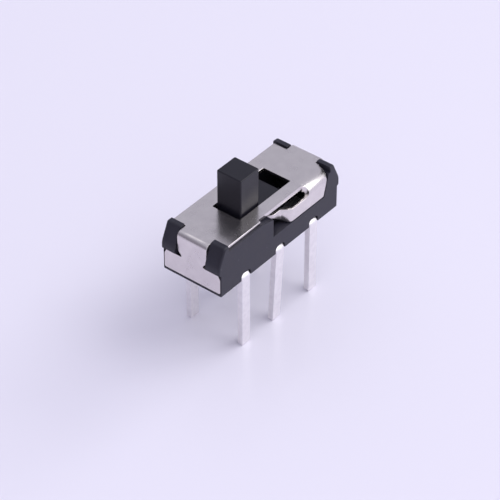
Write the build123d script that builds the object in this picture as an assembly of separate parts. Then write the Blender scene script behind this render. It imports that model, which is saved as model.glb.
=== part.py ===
from build123d import *
import os

# Two-position slide switch for a circuit board, in millimetres.
# The origin is the middle of the base's underside, which sits on the board.
# X runs along the knob's travel, +Z points away from the board, and the detent spring is on the -Y side.

# Leads and their contact pads
lead_pitch = 2.5          # between the leads of one row
lead_width = 0.56
lead_length = 4.0         # below the board face
lead_tip = 0.08           # chamfer round the free end
strip_thickness = 0.3
strip_bend = 0.06         # bend radii are those of the inner face
joggle_run = 0.3          # along which the strip climbs from the board face to the floor
tail_length = 0.4         # from the middle of the lead to the foot of the climb
pad_width = 1.1
pad_inset = 0.2           # from the middle plane to the pad's inner end

# Travel and running clearances
travel = 2.0
end_clearance = 0.1       # carriage to end wall, at each end of the travel
side_clearance = 0.08     # carriage to side wall
lift_clearance = 0.05     # carriage to cover
detent_clearance = 0.03   # spring crest to the carriage's ridge
contact_clearance = 0.02  # contact point to pad

# Base housing
base_width = 3.4          # over the side walls, with the leads flush
end_margin = 1.8          # from the outer leads to the end of the base
wall_height = 2.3
end_wall = 0.7
side_wall = 0.5
floor = 0.6
lip_height = 0.1          # under each end flange
end_cheek = 0.04          # beside each end flange
base_edge = 0.05          # rounding of the outer upright corners
post_length = 0.72
post_proud = 0.14         # past the end flange
post_bottom = 1.2
post_undercut = 0.1
post_face = 0.33          # upright part of the outer face
post_crown = 0.28         # flat part of the top
post_rise = 0.09          # above the cover
post_round = 0.14         # where the leaning face meets the top
post_belly = 0.7          # rounding where it starts to lean
post_edge = 0.1           # along the outer side of the top and of the leaning face
notch_gap = 0.06          # beside and above each lead
notch_depth = 0.5
notch_round = 0.18
sill_rise = 0.52          # from the floor to the sill of the spring's window
window_gap = 0.05         # round the spring arm and the side flange
window_run = 1.36         # from the arm's knee to the window's near edge
shoulder_drop = 0.18      # of the wall's top, from the rail's start to the window

# Metal cover, folded from one sheet
sheet = 0.2
fold_gap = 0.04           # between the sheet's cut edges and the posts
plate_inset = 0.1         # from the side wall's outer face to the plate's edge
slot_end_gap = 0.21       # past the knob, at each end of its travel
slot_side_gap = 0.09
slot_round = 0.06
neck_width = 1.7
neck_relief = 0.22        # depth of the cut where the neck meets the wings
relief_slope = 0.26
relief_height = 0.08
wing_gap = 0.02           # to the cheeks
wing_slant_width = 0.12
wing_slant_height = 0.24
wing_round = 0.1          # at the lower corners
flange_foot_gap = 0.02    # end flange to lip
end_bend = 0.1
side_bend = 0.4
side_flange_margin = 0.08 # from the plate's end to the side flange
side_flange_length = 1.45
side_flange_taper = 0.37
rail_inset = 0.27         # to the plate's edge beside the spring
rail_start = -1.35
rail_round = 0.05         # at the step where the rail starts
slit_round = 0.25         # at the slit's far end, between the rail and the side flange
arm_drop = 0.41           # from the plate to the arm's upper edge
arm_ramp = 0.31           # along X, where the arm comes in through the window
arm_step = 0.4            # how far in it comes
arm_flat = 0.53           # along X, from the ramp to the foot of the crest
arm_bend = 0.12
arm_taper = 0.5           # how much its lower edge climbs, from the middle of the ramp on
taper_run = 0.7
detent_place = -0.35      # of the crest, along X
crest_run = 0.35          # along X, from the crest's foot to its top
crest_height = 0.3
crest_bend = 0.15
tip_length = 0.3
tip_flare = 0.15

# Slider
knob_length = 1.3
knob_width = 1.41
knob_height = 2.0         # above the cover
knob_edge = 0.06
contact_room = 0.45       # from the floor to the carriage
arm_headroom = 0.08       # over the spring arm
detent_width = 0.9
detent_depth = 0.2
peg_radius = 0.11
peg_length = 0.18
peg_clearance = 0.02

# Moving contacts
contact_thickness = 0.1
contact_width = 0.4
contact_row = 0.5         # from the middle plane
contact_flat = 1.0
contact_bend = 0.1
contact_toe = 0.35        # past each contact point
contact_toe_rise = 0.15
groove_gap = 0.03

# One overrun serves all cuts
overrun = 0.5

# Worked out from the sizes above
base_length = 2 * (lead_pitch + end_margin)
row_spacing = base_width - strip_thickness
cover_top = wall_height + sheet
half_length = base_length / 2
half_width = base_width / 2
core_length = base_length - 2 * sheet
cavity_length = core_length - 2 * end_wall
cavity_width = base_width - 2 * side_wall
post_inner = half_length + post_proud - post_length
plate_end = post_inner - fold_gap
window_sill = floor + sill_rise
arm_bottom = window_sill + window_gap
arm_top = wall_height - arm_drop
arm_knee = detent_place + crest_run + arm_flat + arm_ramp
window_start = arm_knee - window_run
wall_line = half_width - sheet / 2
wing_room = half_width - end_cheek
rail_edge = half_width - rail_inset
flange_foot = lip_height + flange_foot_gap
slot_length = knob_length + travel + 2 * slot_end_gap
slot_width = knob_width + 2 * slot_side_gap
side_flange_end = plate_end - side_flange_margin
side_flange_start = side_flange_end - side_flange_length
bend_line = half_width - sheet - side_bend
carriage_length = cavity_length - travel - 2 * end_clearance
carriage_width = cavity_width - 2 * side_clearance
carriage_top = wall_height - lift_clearance
carriage_bottom = floor + contact_room
rest_place = -travel / 2
sitting = (Align.CENTER, Align.CENTER, Align.MIN)


def bent_strip(points, inner_bends, thickness):
    # Edge view of a flat strip whose middle follows the points, with an inner radius for each bend.
    radii = [bend + thickness / 2 for bend in inner_bends]
    return trace(FilletPolyline(*points, radius=radii), line_width=thickness)


def both_ends(shape):
    return shape + mirror(shape, about=Plane.YZ)


def both_sides(shape):
    return shape + mirror(shape, about=Plane.XZ)


def make_terminal(side, place):
    # One bent strip: the lead, the tail under the wall, the climb and the contact pad.
    row = side * row_spacing / 2
    low = strip_thickness / 2
    high = floor - strip_thickness / 2
    climb_start = row - side * tail_length
    climb_end = climb_start - side * joggle_run
    pad_end = side * pad_inset
    route = [(row, -lead_length), (row, low), (climb_start, low), (climb_end, high), (pad_end, high)]
    profile = bent_strip(route, [strip_bend] * (len(route) - 2), strip_thickness)
    strip = extrude(Plane.YZ * profile, amount=lead_width / 2, both=True)
    strip = chamfer(strip.faces().sort_by(Axis.Z)[0].edges(), length=lead_tip)
    pad = Box(pad_width, abs(climb_end - pad_end), strip_thickness)
    return Pos(place, 0, 0) * (strip + Pos(0, (climb_end + pad_end) / 2, high) * pad)


def make_post():
    # Corner post: its outer face leans in towards the top, and the end flange hooks under it.
    outer = half_length + post_proud
    top = cover_top + post_rise
    shoulder = (outer, post_bottom + post_undercut + post_face)
    crown = (post_inner + post_crown, top)
    heel = (outer, post_bottom + post_undercut)
    foot = [(post_inner, post_bottom), (half_length, post_bottom)]
    outline = foot + [heel, shoulder, crown, (post_inner, top)]
    profile = make_face(Polyline(*outline, close=True))
    for corner, radius in ((shoulder, post_belly), (crown, post_round)):
        profile = fillet(profile.vertices().sort_by_distance(corner)[0], radius=radius)
    post_width = half_width - neck_width / 2 - fold_gap
    post = Pos(0, half_width, 0) * extrude(Plane.XZ * profile, amount=post_width)
    outer_edge = post.edges().filter_by(Axis.X).sort_by_distance((post_inner, half_width, top))[0]
    return fillet(outer_edge, radius=post_edge)


def make_window():
    # Opening in the -Y wall for the spring arm and the side flange, whose far edge it follows.
    flange_low = side_flange_end - side_flange_taper + window_gap
    flange_high = side_flange_end + window_gap
    shoulder = [(rail_start, wall_height), (window_start, wall_height - shoulder_drop)]
    near_edge = [(rail_start, cover_top)] + shoulder + [(window_start, window_sill)]
    outline = [(flange_low, window_sill), (flange_high, cover_top)] + near_edge
    inner = min(cavity_width / 2, bend_line)
    depth = half_width - inner + overrun
    return Pos(0, -inner, 0) * extrude(Plane.XZ * make_face(Polyline(*outline, close=True)), amount=depth)


def make_lead_notch(side, place):
    # Arched notch in the foot of the wall, where a terminal's tail comes out and bends down.
    height = strip_thickness + notch_gap
    arch = Rectangle(lead_width + 2 * notch_gap, height + overrun, align=(Align.CENTER, Align.MAX))
    arch = fillet(arch.vertices().group_by(Axis.Y)[-1], radius=notch_round)
    notch = extrude(Plane.XZ * Pos(place, height) * arch, amount=(notch_depth + overrun) / 2, both=True)
    return Pos(0, side * (half_width + (overrun - notch_depth) / 2), 0) * notch


def make_base(terminals):
    core = Box(core_length, base_width, wall_height, align=sitting)
    core = fillet(core.edges().filter_by(Axis.Y).group_by(Axis.Z)[-1], radius=end_bend + fold_gap)
    foot = extrude(RectangleRounded(base_length, base_width, base_edge), amount=post_bottom)
    recess = Pos(half_length, 0, lip_height) * Box(2 * sheet, 2 * wing_room, post_bottom, align=sitting)
    core += foot - both_ends(recess)
    core -= Pos(0, 0, floor) * Box(cavity_length, cavity_width, wall_height, align=sitting)
    core -= make_window()
    core += both_sides(both_ends(make_post()))
    for side, place in lead_places.values():
        core -= make_lead_notch(side, place)
    for terminal in terminals:
        core -= terminal
    return core


def make_cover_plate():
    # Flat top of the cover with the knob's slot; its -Y edge steps in beside the spring.
    rail_end = side_flange_start - slit_round
    plate_edge = half_width - plate_inset
    outline = [
        (-plate_end, plate_edge),
        (-plate_end, -plate_edge),
        (rail_start, -plate_edge),
        (rail_start, -rail_edge),
        (rail_end, -rail_edge),
        (rail_end, -bend_line),
        (plate_end, -bend_line),
        (plate_end, plate_edge),
    ]
    plate = make_face(Polyline(*outline, close=True))
    step_round = min(rail_round, abs(plate_edge - rail_edge) / 2)
    plate = fillet(plate.vertices().sort_by_distance((rail_start, -rail_edge))[0], radius=step_round)
    plate -= RectangleRounded(slot_length, slot_width, slot_round)
    return Pos(0, 0, wall_height) * extrude(plate, amount=sheet)


def make_end_flange():
    # The neck comes down from the fold, and the wings spread under the posts.
    fold_foot = wall_height - end_bend
    wing_top = post_bottom - fold_gap
    relief_top = wing_top + relief_height
    neck = neck_width / 2
    wing = wing_room - wing_gap
    half = [
        (0, fold_foot),
        (neck, fold_foot),
        (neck, relief_top + relief_slope),
        (neck - neck_relief, relief_top),
        (neck - neck_relief, wing_top),
        (wing - wing_slant_width, wing_top),
        (wing, wing_top - wing_slant_height),
        (wing, flange_foot),
        (0, flange_foot),
    ]
    face = make_face(Polyline(*half, close=True))
    face = fillet(face.vertices().sort_by_distance((wing, flange_foot))[0], radius=wing_round)
    face += mirror(face, about=Plane.YZ)
    flange = extrude(Plane.YZ * face, amount=sheet)
    fold_route = [
        (0, cover_top - sheet / 2),
        (half_length - sheet / 2, cover_top - sheet / 2),
        (half_length - sheet / 2, flange_foot),
    ]
    fold = extrude(Plane.XZ * bent_strip(fold_route, [end_bend], sheet), amount=neck, both=True)
    above = Pos(slot_length / 2, 0, fold_foot) * Box(
        base_length, base_width, base_length, align=(Align.MIN, Align.CENTER, Align.MIN)
    )
    return Pos(half_length - sheet, 0, 0) * flange + (fold & above)


def make_spring_arm():
    # Detent arm: along the wall, in through the window, then a rounded crest that rides on the slider.
    inner = wall_line - arm_step
    crest = inner - crest_height
    ramp_end = arm_knee - arm_ramp
    taper_start = arm_knee - arm_ramp / 2
    tip = detent_place - tip_length
    route = [
        (side_flange_start + sheet, -wall_line),
        (arm_knee, -wall_line),
        (ramp_end, -inner),
        (detent_place + crest_run, -inner),
        (detent_place, -crest),
        (tip, -crest - tip_flare),
    ]
    profile = bent_strip(route, [arm_bend, arm_bend, crest_bend, crest_bend], sheet)
    arm = extrude(profile, amount=arm_top - arm_bottom)
    taper = [(taper_start, 0), (taper_start - taper_run, arm_taper), (tip - overrun, arm_taper)]
    taper += [(tip - overrun, -overrun), (taper_start, -overrun)]
    wedge = extrude(Plane.XZ * make_face(Polyline(*taper, close=True)), amount=base_width)
    return Pos(0, 0, arm_bottom) * (arm - wedge)


def make_side_flange():
    # Flange folded down over the window; the spring arm grows from its near edge.
    middle = cover_top - sheet / 2
    route = [(-bend_line + sheet, middle), (-wall_line, middle), (-wall_line, arm_bottom)]
    flange = extrude(Plane.YZ * bent_strip(route, [side_bend], sheet), amount=side_flange_length + slit_round)
    flange = Pos(side_flange_start - slit_round, 0, 0) * flange
    slant = [(side_flange_end, cover_top), (side_flange_end - side_flange_taper, arm_bottom)]
    slant += [(side_flange_end + overrun, arm_bottom), (side_flange_end + overrun, cover_top)]
    return flange - extrude(Plane.XZ * make_face(Polyline(*slant, close=True)), amount=base_width)


def make_slit():
    # Room between the rail and the arm, rounded at its far end.
    slit = Pos(side_flange_start, -rail_edge, arm_top) * Box(
        2 * slit_round, base_width, base_width, align=(Align.MAX, Align.MAX, Align.MIN)
    )
    far_edges = slit.faces().sort_by(Axis.X)[-1].edges()
    corner = far_edges.filter_by(Axis.Z).sort_by(Axis.Y)[-1]
    bottom = far_edges.filter_by(Axis.Y).sort_by(Axis.Z)[0]
    return fillet([corner, bottom], radius=slit_round)


def make_cover(arm):
    cover = make_cover_plate() + both_ends(make_end_flange()) + make_side_flange() + arm
    return cover - make_slit()


def make_contact(side):
    # Bowed strip that bridges the middle pad and one outer pad of its row.
    seat = carriage_bottom + contact_thickness / 2
    point = floor + contact_clearance + contact_thickness / 2
    reach = lead_pitch / 2
    half = [(contact_flat / 2, seat), (reach, point), (reach + contact_toe, point + contact_toe_rise)]
    route = [(-x, z) for x, z in reversed(half)] + half
    profile = bent_strip(route, [contact_bend] * (len(route) - 2), contact_thickness)
    strip = extrude(Plane.XZ * profile, amount=contact_width / 2, both=True)
    strip -= Pos(0, 0, seat) * Cylinder(peg_radius + peg_clearance, overrun)
    return Pos(rest_place, side * contact_row, 0) * strip


def make_slider(arm):
    # One moulding: the knob, the plate that runs under the cover, and the block that carries the contacts.
    ridge = arm.bounding_box().max.Y + detent_clearance
    block_side = carriage_width / 2
    shelf = arm_top + arm_headroom
    block = Pos(0, (block_side + ridge) / 2, carriage_bottom) * Box(
        carriage_length, block_side - ridge, carriage_top - carriage_bottom, align=sitting
    )
    for stop in (travel / 2, -travel / 2):
        valley = [(-detent_width / 2, -overrun), (-detent_width / 2, 0), (0, detent_depth)]
        valley += [(detent_width / 2, 0), (detent_width / 2, -overrun)]
        block -= Pos(detent_place + stop, ridge, 0) * extrude(
            make_face(Polyline(*valley, close=True)), amount=shelf
        )
    plate = Pos(0, 0, shelf) * Box(carriage_length, carriage_width, carriage_top - shelf, align=sitting)
    knob = Box(knob_length, knob_width, cover_top + knob_height - shelf, align=sitting)
    knob = fillet(knob.edges().filter_by(Axis.Z), radius=knob_edge)
    knob = fillet(knob.faces().sort_by(Axis.Z)[-1].edges(), radius=knob_edge)
    slider = block + plate + Pos(0, 0, shelf) * knob
    groove = Box(carriage_length + overrun, contact_width + 2 * groove_gap, contact_thickness, align=sitting)
    peg_top = carriage_bottom + contact_thickness
    peg = Cylinder(peg_radius, peg_length, align=(Align.CENTER, Align.CENTER, Align.MAX))
    for side in (1, -1):
        slider -= Pos(0, side * contact_row, carriage_bottom) * groove
        slider += Pos(0, side * contact_row, peg_top) * peg
    return Pos(rest_place, 0, 0) * slider


lead_places = {
    f"{row_name}_{place_name}": (side, step * lead_pitch)
    for row_name, side in (("right", -1), ("left", 1))
    for place_name, step in (("near", -1), ("common", 0), ("far", 1))
}
pieces = {f"terminal_{name}": make_terminal(side, place) for name, (side, place) in lead_places.items()}
spring_arm = make_spring_arm()
pieces["base_housing"] = make_base(list(pieces.values()))
pieces["metal_cover"] = make_cover(spring_arm)
pieces["slider"] = make_slider(spring_arm)
pieces["moving_contact_right"] = make_contact(-1)
pieces["moving_contact_left"] = make_contact(1)

os.makedirs("parts", exist_ok=True)
for name, shape in pieces.items():
    export_step(shape, f"parts/{name}.step")
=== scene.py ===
import math

import bmesh
import bpy
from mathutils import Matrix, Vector


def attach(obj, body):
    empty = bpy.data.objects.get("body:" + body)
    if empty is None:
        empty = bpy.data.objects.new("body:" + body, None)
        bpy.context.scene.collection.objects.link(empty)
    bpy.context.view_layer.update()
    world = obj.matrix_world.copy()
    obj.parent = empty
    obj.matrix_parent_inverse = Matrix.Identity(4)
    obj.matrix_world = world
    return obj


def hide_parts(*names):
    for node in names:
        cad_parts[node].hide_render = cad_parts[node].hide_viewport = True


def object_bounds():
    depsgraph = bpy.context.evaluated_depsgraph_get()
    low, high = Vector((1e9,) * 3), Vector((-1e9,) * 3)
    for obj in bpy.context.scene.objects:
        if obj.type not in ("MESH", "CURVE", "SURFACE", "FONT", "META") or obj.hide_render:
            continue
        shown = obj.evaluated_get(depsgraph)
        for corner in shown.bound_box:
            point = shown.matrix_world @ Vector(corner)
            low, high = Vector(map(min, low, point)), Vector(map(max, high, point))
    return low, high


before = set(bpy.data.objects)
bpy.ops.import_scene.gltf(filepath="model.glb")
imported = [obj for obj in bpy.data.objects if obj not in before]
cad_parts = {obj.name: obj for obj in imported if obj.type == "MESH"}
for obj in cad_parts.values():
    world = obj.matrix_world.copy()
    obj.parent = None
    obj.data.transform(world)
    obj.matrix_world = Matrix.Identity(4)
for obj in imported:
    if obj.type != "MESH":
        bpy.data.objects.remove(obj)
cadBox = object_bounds()
mm = 0.001  # the scene is in metres, the values below are in millimetres
scene = bpy.context.scene
print("frame loaded:", len(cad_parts), "nodes")


def toLinear(hexColour):
    shares = [int(hexColour[i:i + 2], 16) / 255 for i in (0, 2, 4)]
    return [s / 12.92 if s <= 0.04045 else ((s + 0.055) / 1.055) ** 2.4 for s in shares] + [1]


def addNode(tree, kind, sockets=None, **settings):
    # a socket value is a constant, or another node's output to link; sockets that share a name go by
    # number: a colour Mix takes 0, 6 and 7 and gives 2, a whole-number Compare takes 2 and 3
    node = tree.nodes.new(kind)
    for name, value in settings.items():
        setattr(node, name, value)
    for name, value in (sockets or {}).items():
        if isinstance(value, bpy.types.NodeSocket):
            tree.links.new(value, node.inputs[name])
        else:
            node.inputs[name].default_value = value
    return node


def newMaterial(name, **sockets):
    material = bpy.data.materials.new(name)
    material.use_nodes = True
    tree = material.node_tree
    tree.nodes.clear()
    shader = addNode(tree, "ShaderNodeBsdfPrincipled", sockets)
    addNode(tree, "ShaderNodeOutputMaterial", {"Surface": shader.outputs["BSDF"]})
    return material, tree, shader


# camera at the photograph's angle, with a long lens
view = {
    "azimuth": -51.112,
    "elevation": 39.373,
    "place": (-67.461, -54.311, 70.217),
    "focalLength": 172.8,
    "sensorWidth": 36,
    "sight": (1, 10000),  # nearest and farthest that it sees
}


def makeCamera():
    azimuth = math.radians(view["azimuth"])
    elevation = math.radians(view["elevation"])
    level = math.cos(elevation)
    back = Vector((math.sin(azimuth) * level, -math.cos(azimuth) * level, math.sin(elevation)))
    nearest, farthest = view["sight"]
    data = bpy.data.cameras.new("photoCamera")
    data.lens = view["focalLength"]
    data.sensor_width = view["sensorWidth"]
    data.clip_start = nearest * mm
    data.clip_end = farthest * mm
    camera = bpy.data.objects.new("photoCamera", data)
    camera.location = Vector(view["place"]) * mm
    camera.rotation_euler = back.to_track_quat("Z", "Y").to_euler()
    scene.collection.objects.link(camera)
    scene.camera = camera


makeCamera()
print("camera set")

# pale table in a pale room whose left side is in shade; three softboxes on the right, from high to
# low, a wide one in front and a small one overhead
studio = {
    "tableColour": "e6e2ee",
    "tableRoughness": 0.24,
    "tableShine": 0.28,
    "tableSize": 3000,
    "roomColour": "c4c4d3",
    "shadeColour": "8d8a99",
    "shadeSide": (-0.873, 0.487, 0),
    "shadeSpread": (0.45, 0.95),  # cosines from the shaded side: where the shade starts and is full
    "ambient": 1.13,  # strength of the room's light; mirrored in a surface, the room has strength 1
    "lamps": {
        # direction, distance, width, height, level: the share of full light on a level surface
        "rightLamp": ((0.35, -0.5, 0.79), 350, 200, 200, 0.23),
        "sideLamp": ((0.6, -0.74, 0.3), 350, 210, 220, 0.06),
        "farLamp": ((0.88, -0.26, 0.4), 700, 440, 440, 0.18),
        "frontLamp": ((-0.55, -0.45, 0.7), 350, 280, 280, 0.1),
        "topLamp": ((0.03, 0.48, 0.87), 400, 200, 200, 0.025),
    },
    "screenedLamp": "farLamp",  # lights the table, but is kept out of the metal's reflections
    "shinerLamp": "sideLamp",  # gives the metal its highlight, and is kept off the table
}


def makeTable():
    mesh = bpy.data.meshes.new("table")
    half = studio["tableSize"] * mm / 2
    level = cadBox[0].z
    corners = [(x, y, level) for x, y in ((-half, -half), (half, -half), (half, half), (-half, half))]
    mesh.from_pydata(corners, [], [(0, 1, 2, 3)])
    # cast acrylic sheet: even and pale, with a soft shine that mirrors the feet of the leads
    finish = {
        "Base Color": toLinear(studio["tableColour"]),
        "Roughness": studio["tableRoughness"],
        "Specular IOR Level": studio["tableShine"],
    }
    mesh.materials.append(newMaterial("pale acrylic table", **finish)[0])
    table = bpy.data.objects.new("table", mesh)
    scene.collection.objects.link(table)
    return table


def makeRoom():
    world = bpy.data.worlds.new("pale room")
    world.use_nodes = True
    tree = world.node_tree
    tree.nodes.clear()
    path = addNode(tree, "ShaderNodeLightPath").outputs
    cameraRay = path["Is Camera Ray"]
    seen = cameraRay
    for ray in ("Is Glossy Ray", "Is Transmission Ray"):
        either = addNode(tree, "ShaderNodeMath", {0: seen, 1: path[ray]}, operation="MAXIMUM")
        seen = either.outputs[0]
    strength = addNode(tree, "ShaderNodeMapRange", {
        "Value": seen, "To Min": studio["ambient"], "To Max": 1}).outputs[0]
    direction = addNode(tree, "ShaderNodeTexCoord").outputs["Generated"]
    side = addNode(tree, "ShaderNodeVectorMath", {
        0: direction, 1: studio["shadeSide"]}, operation="DOT_PRODUCT").outputs["Value"]
    start, full = studio["shadeSpread"]
    shade = addNode(tree, "ShaderNodeMapRange", {
        "Value": side, "From Min": start, "From Max": full},
        interpolation_type="SMOOTHSTEP").outputs[0]
    # behind the object the room is evenly pale
    behind = addNode(tree, "ShaderNodeMath", {0: 1, 1: cameraRay}, operation="SUBTRACT").outputs[0]
    shade = addNode(tree, "ShaderNodeMath", {0: shade, 1: behind}, operation="MULTIPLY").outputs[0]
    colour = addNode(tree, "ShaderNodeMix", {
        0: shade, 6: toLinear(studio["roomColour"]), 7: toLinear(studio["shadeColour"])},
        data_type="RGBA").outputs[2]
    sky = addNode(tree, "ShaderNodeBackground", {"Color": colour, "Strength": strength})
    addNode(tree, "ShaderNodeOutputWorld", {"Surface": sky.outputs[0]})
    scene.world = world


def makeLamps(table):
    for name, (direction, distance, width, height, share) in studio["lamps"].items():
        towards = Vector(direction).normalized()
        lamp = bpy.data.lights.new(name, "AREA")
        lamp.shape = "RECTANGLE"
        lamp.size = width * mm
        lamp.size_y = height * mm
        lamp.energy = share * (math.pi * distance * mm) ** 2 / towards.z
        lampObject = bpy.data.objects.new(name, lamp)
        lampObject.location = towards * distance * mm
        lampObject.rotation_euler = towards.to_track_quat("Z", "Y").to_euler()
        lampObject.visible_camera = False
        lampObject.visible_glossy = name != studio["screenedLamp"]
        scene.collection.objects.link(lampObject)
        if name == studio["shinerLamp"]:
            unlit = bpy.data.collections.new("unlit by " + name)
            unlit.objects.link(table)
            unlit.collection_objects[0].light_linking.link_state = "EXCLUDE"
            lampObject.light_linking.receiver_collection = unlit


makeLamps(makeTable())
makeRoom()
scene.view_settings.view_transform = "Standard"
print("studio set")

# noise shared by the finishes: the span that holds most of its values, and its finer layers
noise = {
    "span": (0.3, 0.7),
    "patchDetail": 3,
    "grainDetail": 2,
    "lineDetail": 1,
}

# glass-filled nylon, moulded in a spark-eroded tool: black, with a fine grain that spreads the
# gloss into a soft grey sheen, slightly cloudy and flecked where the fibres come to the surface
baseNylon = {
    "shine": 0.38,  # the grain traps part of it
    "colour": "201f29",
    "cloudColour": "2a2934",
    "cloud": 0.7,
    "roughness": (0.38, 0.5),
    "grain": 0.06,  # really 0.02, drawn coarser so that it shows
    "grainHeight": 0.004,
    "fleckColour": "4c4b52",
    "fleckSpacing": 0.55,
    "fleckShare": 0.05,
}

# acetal, moulded in a smoother tool: a little darker and glossier, with the same kind of sheen
sliderAcetal = {
    "shine": 0.38,
    "colour": "14131c",
    "cloudColour": "1a1922",
    "cloud": 0.9,
    "roughness": (0.32, 0.42),
    "grain": 0.06,  # really 0.02, drawn coarser so that it shows
    "grainHeight": 0.003,
    "fleckColour": "3c3b41",
    "fleckSpacing": 0.6,
    "fleckShare": 0.04,
}


def mouldedPlastic(name, look):
    material, tree, shader = newMaterial(name, **{"Specular IOR Level": look["shine"]})
    low, high = noise["span"]
    smooth, rough = look["roughness"]
    place = addNode(tree, "ShaderNodeTexCoord").outputs["Object"]
    cloud = addNode(tree, "ShaderNodeTexNoise", {
        "Vector": place, "Scale": 1 / (look["cloud"] * mm), "Detail": noise["patchDetail"]}).outputs[0]
    spread = addNode(tree, "ShaderNodeMapRange", {
        "Value": cloud, "From Min": low, "From Max": high}).outputs[0]
    plain = addNode(tree, "ShaderNodeMix", {
        0: spread, 6: toLinear(look["colour"]), 7: toLinear(look["cloudColour"])},
        data_type="RGBA").outputs[2]
    # flecks: small balls scattered through the space, seen where a surface cuts them
    balls = addNode(tree, "ShaderNodeTexVoronoi", {
        "Vector": place, "Scale": 1 / (look["fleckSpacing"] * mm)}).outputs["Distance"]
    fleck = addNode(tree, "ShaderNodeMath", {
        0: balls, 1: look["fleckShare"]}, operation="LESS_THAN").outputs[0]
    flecked = addNode(tree, "ShaderNodeMix", {
        0: fleck, 6: plain, 7: toLinear(look["fleckColour"])}, data_type="RGBA").outputs[2]
    gloss = addNode(tree, "ShaderNodeMapRange", {
        "Value": cloud, "From Min": low, "From Max": high, "To Min": smooth, "To Max": rough})
    grain = addNode(tree, "ShaderNodeTexNoise", {
        "Vector": place, "Scale": 1 / (look["grain"] * mm), "Detail": noise["grainDetail"]}).outputs[0]
    bump = addNode(tree, "ShaderNodeBump", {"Height": grain, "Distance": look["grainHeight"] * mm})
    tree.links.new(flecked, shader.inputs["Base Color"])
    tree.links.new(gloss.outputs[0], shader.inputs["Roughness"])
    tree.links.new(bump.outputs[0], shader.inputs["Normal"])
    return material


# steel strip, cold rolled, stamped and nickel plated: a warm grey mirror, dulled by the fine lines
# of the rolling and by a faint bloom, so that near things reflect sharply and far ones softly
coverNickel = {
    "colour": "e2dcda",
    "bloomColour": "dad4d3",
    "bloom": 0.5,
    "roughness": (0.2, 0.28),
    "lines": (2.5, 0.05, 0.05),  # length and width of a line; really 0.01 wide, drawn coarser to show
    "lineHeight": 0.0006,
}

# brass strip, blanked and dipped in tin: nearly white, with a soft uneven shine from the dip
leadTin = {
    "colour": "f8f5f5",
    "bloomColour": "f0edee",
    "bloom": 0.25,
    "roughness": (0.42, 0.5),
    "lines": (0.2, 0.2, 1.6),  # runs of the dip, along the lead
    "lineHeight": 0.0002,
}

# phosphor bronze strip, rolled to spring temper: brown-gold, with fine lines along its length
contactBronze = {
    "colour": "c99a62",
    "bloomColour": "b4824f",
    "bloom": 0.4,
    "roughness": (0.24, 0.36),
    "lines": (1.5, 0.05, 0.05),  # as on the cover
    "lineHeight": 0.0008,
}


def stripMetal(name, look):
    material, tree, shader = newMaterial(name, Metallic=1)
    low, high = noise["span"]
    smooth, rough = look["roughness"]
    place = addNode(tree, "ShaderNodeTexCoord").outputs["Object"]
    bloom = addNode(tree, "ShaderNodeTexNoise", {
        "Vector": place, "Scale": 1 / (look["bloom"] * mm), "Detail": noise["patchDetail"]}).outputs[0]
    spread = addNode(tree, "ShaderNodeMapRange", {
        "Value": bloom, "From Min": low, "From Max": high}).outputs[0]
    colour = addNode(tree, "ShaderNodeMix", {
        0: spread, 6: toLinear(look["colour"]), 7: toLinear(look["bloomColour"])},
        data_type="RGBA").outputs[2]
    gloss = addNode(tree, "ShaderNodeMapRange", {
        "Value": bloom, "From Min": low, "From Max": high, "To Min": smooth, "To Max": rough})
    drawn = addNode(tree, "ShaderNodeMapping", {
        "Vector": place, "Scale": [1 / (size * mm) for size in look["lines"]]}).outputs[0]
    lines = addNode(tree, "ShaderNodeTexNoise", {
        "Vector": drawn, "Scale": 1, "Detail": noise["lineDetail"]}).outputs[0]
    bump = addNode(tree, "ShaderNodeBump", {"Height": lines, "Distance": look["lineHeight"] * mm})
    tree.links.new(colour, shader.inputs["Base Color"])
    tree.links.new(gloss.outputs[0], shader.inputs["Roughness"])
    tree.links.new(bump.outputs[0], shader.inputs["Normal"])
    return material


nylon = mouldedPlastic("moulded black nylon", baseNylon)
acetal = mouldedPlastic("moulded black acetal", sliderAcetal)
nickel = stripMetal("nickel-plated rolled steel", coverNickel)
tin = stripMetal("tin-dipped brass", leadTin)
bronze = stripMetal("phosphor bronze spring strip", contactBronze)
print("finishes made")

# how an edge is rounded, the same on every piece
edgeWork = {
    "flatAngle": 0.5,  # faces that meet at less become one
    "slimPart": 100,  # edges shorter than the merging distance divided by this are removed
    "segments": 2,
    "profile": 0.5,
}


def insideBox(point, low, high):
    return all(a * mm < c < b * mm for a, c, b in zip(low, point, high))


def smoothedMesh(nodeName, meshName, edges):
    # merged copy of the solid, its sharp edges rounded as the tool leaves them
    merge = edges["merge"] * mm
    flat = math.radians(edgeWork["flatAngle"])
    sharpAngle = math.radians(edges["sharpAngle"])
    shape = bmesh.new()
    shape.from_mesh(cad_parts[nodeName].data)
    bmesh.ops.remove_doubles(shape, verts=shape.verts, dist=merge)
    bmesh.ops.dissolve_degenerate(shape, edges=shape.edges, dist=merge / edgeWork["slimPart"])
    bmesh.ops.dissolve_limit(shape, angle_limit=flat, verts=shape.verts, edges=shape.edges)
    shape.normal_update()
    sharp = [e for e in shape.edges if e.calc_face_angle() > sharpAngle]
    if "skip" in edges:
        sharp = [e for e in sharp if not any(insideBox(v.co, *edges["skip"]) for v in e.verts)]
    bmesh.ops.bevel(
        shape, geom=sharp, offset=edges["rounding"] * mm, offset_type="OFFSET",
        segments=edgeWork["segments"], profile=edgeWork["profile"], affect="EDGES",
        miter_outer="SHARP", miter_inner="SHARP")
    for part in list(shape.faces) + list(shape.edges):
        part.smooth = True
    mesh = bpy.data.meshes.new(meshName)
    shape.to_mesh(mesh)
    shape.free()
    mesh.attributes.remove(mesh.attributes["custom_normal"])
    mesh.set_sharp_from_angle(angle=sharpAngle)
    return mesh


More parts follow.
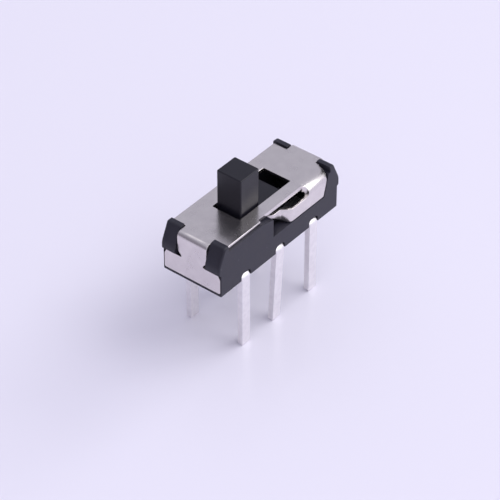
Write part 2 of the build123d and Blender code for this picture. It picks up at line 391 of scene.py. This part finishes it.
def addPiece(mesh, material, slot, body, *nodeNames):
    mesh.materials.clear()
    mesh.materials.append(material)
    piece = bpy.data.objects.new(mesh.name, mesh)
    scene.collection.objects.link(piece)
    flats = piece.modifiers.new("flat faces stay flat", "WEIGHTED_NORMAL")
    flats.keep_sharp = True
    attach(piece, body)
    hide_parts(*nodeNames)
    return piece


# folded cover: cut edges a little rounded by the stamping and plating
coverEdges = {
    "merge": 0.01,
    "sharpAngle": 50,
    "rounding": 0.02,
    "skip": ((1.6, -1.7, 1.9), (2.5, -0.9, 2.6)),  # the slit's round end stays as cut
}
coverMesh = smoothedMesh("metal_cover", "coverSheet", coverEdges)
addPiece(coverMesh, nickel, "cover_steel", "housing", "metal_cover")
print("cover made:", len(coverMesh.polygons), "faces")

# slider: a moulded knob on its carriage, edges rounded by the tool
sliderEdges = {
    "merge": 0.004,
    "sharpAngle": 50,
    "rounding": 0.03,
}
sliderMesh = smoothedMesh("slider", "sliderKnob", sliderEdges)
addPiece(sliderMesh, acetal, "slider_plastic", "slider", "slider")
print("slider made:", len(sliderMesh.polygons), "faces")

# leads: one blanked lead, repeated along both long sides
leads = {
    "pitch": 2.5,
    "count": 3,
    "lean": 0.065,  # sideways drift for each millimetre below the base
    "bentLead": 1,  # counted from 0 at the near end
    "edges": {
        "merge": 0.004,
        "sharpAngle": 50,
        "rounding": 0.015,
        "skip": ((-1, -1.2, 0.05), (1, 0, 0.8)),  # the hidden pad stays as cut
    },
}


def leadTree():
    tree = bpy.data.node_groups.new("leads", "GeometryNodeTree")
    kinds = {
        "Lead": "Geometry",
        "Pitch": "Float",
        "Count": "Int",
        "Lean": "Float",
        "Bent Lead": "Int",
        "Finish": "Material",
    }
    for name, kind in kinds.items():
        tree.interface.new_socket(name, in_out="INPUT", socket_type="NodeSocket" + kind)
    tree.interface.new_socket("Leads", in_out="OUTPUT", socket_type="NodeSocketGeometry")
    given = addNode(tree, "NodeGroupInput").outputs
    # a row of points, half of it on each side of the middle
    step = addNode(tree, "ShaderNodeCombineXYZ", {"X": given["Pitch"]}).outputs[0]
    last = addNode(tree, "ShaderNodeMath", {0: given["Count"], 1: 1}, operation="SUBTRACT").outputs[0]
    reach = addNode(tree, "ShaderNodeMath", {
        0: last, 1: given["Pitch"]}, operation="MULTIPLY").outputs[0]
    start = addNode(tree, "ShaderNodeMath", {0: reach, 1: -0.5}, operation="MULTIPLY").outputs[0]
    first = addNode(tree, "ShaderNodeCombineXYZ", {"X": start}).outputs[0]
    row = addNode(tree, "GeometryNodeMeshLine", {
        "Count": given["Count"], "Start Location": first, "Offset": step}).outputs[0]
    number = addNode(tree, "GeometryNodeInputIndex").outputs[0]
    kept = addNode(tree, "GeometryNodeStoreNamedAttribute", {
        "Geometry": row, "Name": "lead", "Value": number}, data_type="INT", domain="POINT").outputs[0]
    placed = addNode(tree, "GeometryNodeInstanceOnPoints", {
        "Points": kept, "Instance": given["Lead"]}).outputs[0]
    solid = addNode(tree, "GeometryNodeRealizeInstances", {"Geometry": placed}).outputs[0]
    # the bent lead drifts sideways from the base's underside down
    lead = addNode(tree, "GeometryNodeInputNamedAttribute", {
        "Name": "lead"}, data_type="INT").outputs[0]
    bent = addNode(tree, "FunctionNodeCompare", {
        2: lead, 3: given["Bent Lead"]}, data_type="INT", operation="EQUAL").outputs[0]
    place = addNode(tree, "GeometryNodeInputPosition").outputs[0]
    height = addNode(tree, "ShaderNodeSeparateXYZ", {0: place}).outputs["Z"]
    below = addNode(tree, "ShaderNodeMath", {0: height, 1: 0}, operation="MINIMUM").outputs[0]
    drift = addNode(tree, "ShaderNodeMath", {
        0: below, 1: given["Lean"]}, operation="MULTIPLY").outputs[0]
    offset = addNode(tree, "ShaderNodeCombineXYZ", {"X": drift}).outputs[0]
    right = addNode(tree, "GeometryNodeSetPosition", {
        "Geometry": solid, "Selection": bent, "Offset": offset}).outputs[0]
    # the other row is the straight one turned half round
    left = addNode(tree, "GeometryNodeTransform", {
        "Geometry": solid, "Rotation": (0, 0, math.pi)}).outputs[0]
    both = addNode(tree, "GeometryNodeJoinGeometry")
    for rowSide in (right, left):
        tree.links.new(rowSide, both.inputs[0])
    whole = addNode(tree, "GeometryNodeRealizeInstances", {"Geometry": both.outputs[0]}).outputs[0]
    tinned = addNode(tree, "GeometryNodeSetMaterial", {
        "Geometry": whole, "Material": given["Finish"]}).outputs[0]
    addNode(tree, "NodeGroupOutput", {0: tinned})
    return tree


def makeLeads():
    tree = leadTree()
    template = smoothedMesh("terminal_right_common", "leadPins", leads["edges"])
    maker = bpy.data.objects.new("leadMaker", template)
    scene.collection.objects.link(maker)
    rows = maker.modifiers.new("rows", "NODES")
    rows.node_group = tree
    values = {
        "Pitch": leads["pitch"] * mm,
        "Count": leads["count"],
        "Lean": leads["lean"],
        "Bent Lead": leads["bentLead"],
        "Finish": tin,
    }
    for item in tree.interface.items_tree:
        if item.in_out == "INPUT" and item.name in values:
            rows[item.identifier] = values[item.name]
    whole = maker.evaluated_get(bpy.context.evaluated_depsgraph_get())
    mesh = bpy.data.meshes.new_from_object(whole)
    bpy.data.objects.remove(maker)
    bpy.data.meshes.remove(template)
    mesh.name = "leadPins"
    names = [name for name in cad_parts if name.startswith("terminal")]
    return addPiece(mesh, tin, "lead_tin", "housing", *names)


pins = makeLeads()
print("leads made:", len(pins.data.polygons), "faces")

# the base and the two moving contacts keep their solids
solidFinishes = {
    "base_housing": nylon,
    "moving_contact_right": bronze,
    "moving_contact_left": bronze,
}
for nodeName, material in solidFinishes.items():
    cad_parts[nodeName].material_slots[0].material = material
print("solids finished")
